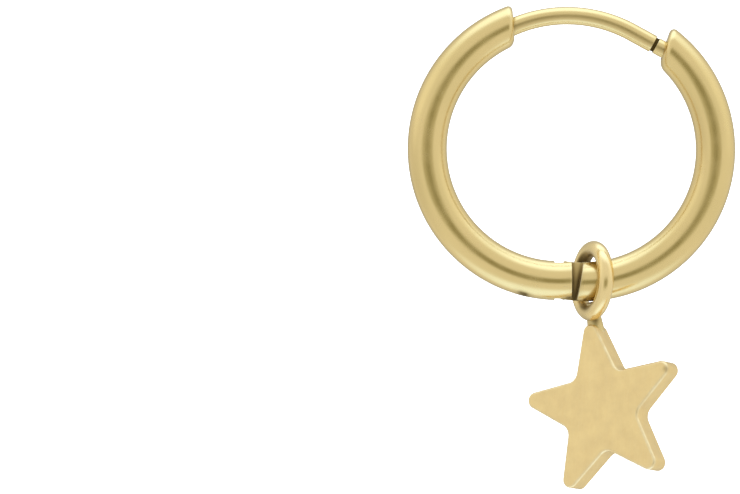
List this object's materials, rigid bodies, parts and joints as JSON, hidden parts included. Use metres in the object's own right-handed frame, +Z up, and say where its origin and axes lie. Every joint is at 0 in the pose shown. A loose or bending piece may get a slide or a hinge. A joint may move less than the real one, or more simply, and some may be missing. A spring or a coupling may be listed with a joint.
{
  "type": "hinged hoop earring with a star charm",
  "caption": "Small hinged hoop earring of round rod with a thin ear wire at the top and a thick star charm that hangs on a bail ring at the bottom.",
  "frame": {"origin": "middle of the ear wire at its crest, where the ear lobe carries the earring", "axes": "+Z up as it hangs, +X from the fixed half of the hoop to the hinged half, +Y from the charm's front to its back"},
  "size_m": [0.0165, 0.0057, 0.0245],
  "materials": {
    "polished_gold": "gold-coloured steel, mirror polished",
    "satin_gold": "gold-coloured steel, finely brushed"
  },
  "bodies": {
    "front": {"front_half": "polished_gold", "ear_wire": "polished_gold", "hinge_pin": "polished_gold"},
    "back": {"back_half": "polished_gold"},
    "charm": {"star_charm": "satin_gold"}
  },
  "joints": [
    {"name": "hoop_hinge", "type": "hinge", "parent": "front", "child": "back", "pos_m": [-0.00009, 0, -0.01383], "axis": [0, 1, 0], "range_deg": [0, 45]},
    {"name": "charm_swing", "type": "hinge", "parent": "back", "child": "charm", "pos_m": [0.00127, 0, -0.01339], "axis": [0.9979, 0, 0.0645], "continuous": true}
  ]
}
